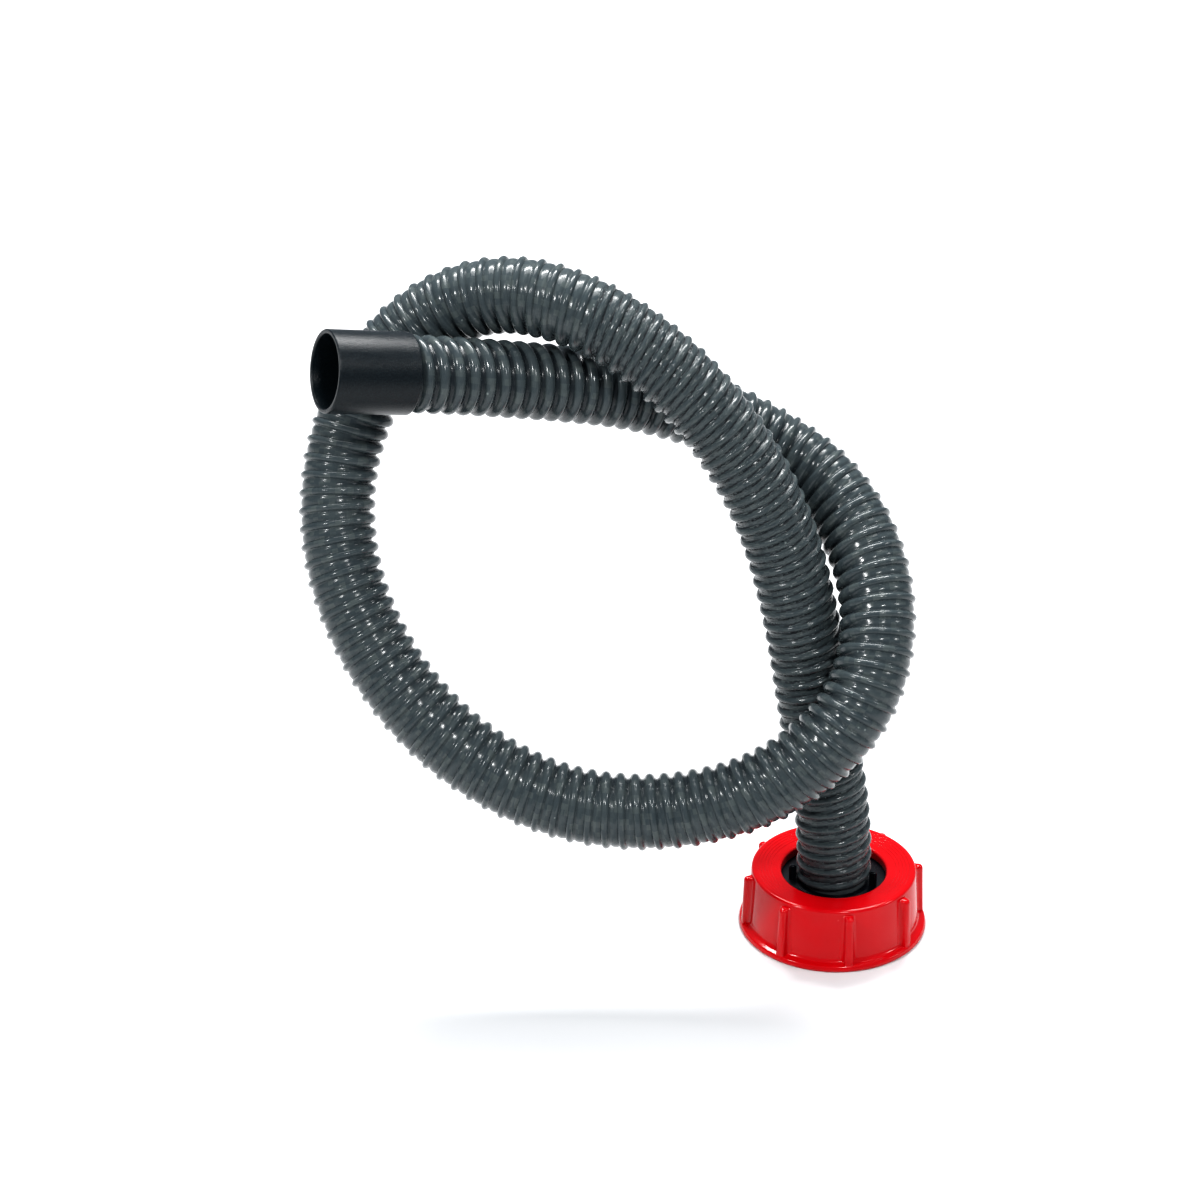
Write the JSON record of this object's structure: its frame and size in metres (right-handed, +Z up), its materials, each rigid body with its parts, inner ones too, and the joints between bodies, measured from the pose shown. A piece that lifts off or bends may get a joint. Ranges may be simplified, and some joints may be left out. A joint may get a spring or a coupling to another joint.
{
  "type": "sewer hose kit",
  "caption": "Flexible drain hose with a helical rib, a lugged screw cap swivelling on the hose tail at one end and a plain push-on cuff at the other.",
  "frame": {"origin": "centre of the screw cap's bottom face, on the cap's axis", "axes": "+Z up along the cap's axis, out of the tank and into the hose; +X to the right and +Y away, seen from the side on which the cuff points to the left"},
  "size_m": [0.3781, 0.1801, 0.4141],
  "materials": {
    "cap_red": "glossy moulded red plastic",
    "tail_black": "smooth black moulded plastic",
    "seal_rubber": "matt black rubber",
    "hose_grey": "glossy flexible slate-grey plastic with a rigid helical bead",
    "cuff_black": "satin black moulded plastic"
  },
  "bodies": {
    "cap": {"screw_cap": "cap_red"},
    "hose_line": {"hose_tail": "tail_black", "sealing_ring": "seal_rubber", "hose": "hose_grey", "end_cuff": "cuff_black"}
  },
  "joints": [
    {"name": "hose_swivel", "type": "hinge", "parent": "cap", "child": "hose_line", "pos_m": [0, 0, 0.032], "axis": [0, 0, 1], "continuous": true}
  ]
}
